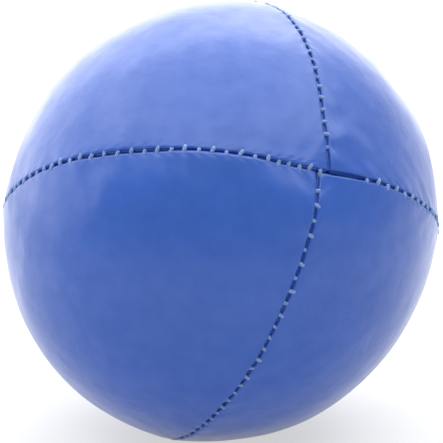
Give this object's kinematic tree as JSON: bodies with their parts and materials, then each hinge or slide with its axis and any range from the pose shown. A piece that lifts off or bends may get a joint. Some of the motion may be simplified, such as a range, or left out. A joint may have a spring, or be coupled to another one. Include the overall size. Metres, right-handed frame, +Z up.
{
  "type": "juggling ball",
  "caption": "Soft round juggling ball of sewn blue leatherette panels with turned-in seams, lockstitch thread, a hand-closed filling opening and a seed fill; it rests on a small settled flat.",
  "frame": {"origin": "on the rest plane, straight below the middle of the ball, at the middle of the settled flat", "axes": "+Z up, away from the rest plane; +X to the right and +Y away, as seen in the picture"},
  "size_m": [0.0678, 0.068, 0.068],
  "materials": {
    "leatherette": "royal blue coated cloth, semi-gloss, fine grain",
    "thread": "pale blue twisted polyester thread",
    "hand_thread": "blue twisted polyester thread",
    "seed": "small round dry seed, matt"
  },
  "bodies": {
    "root": {"panel_upper_left": "leatherette", "panel_upper_right": "leatherette", "panel_lower_left": "leatherette", "panel_lower_right": "leatherette", "upper_seam_thread": "thread", "lower_seam_thread": "thread", "closing_seam_thread": "thread", "hand_closing_thread": "hand_thread", "seed_fill": "seed"}
  },
  "joints": []
}
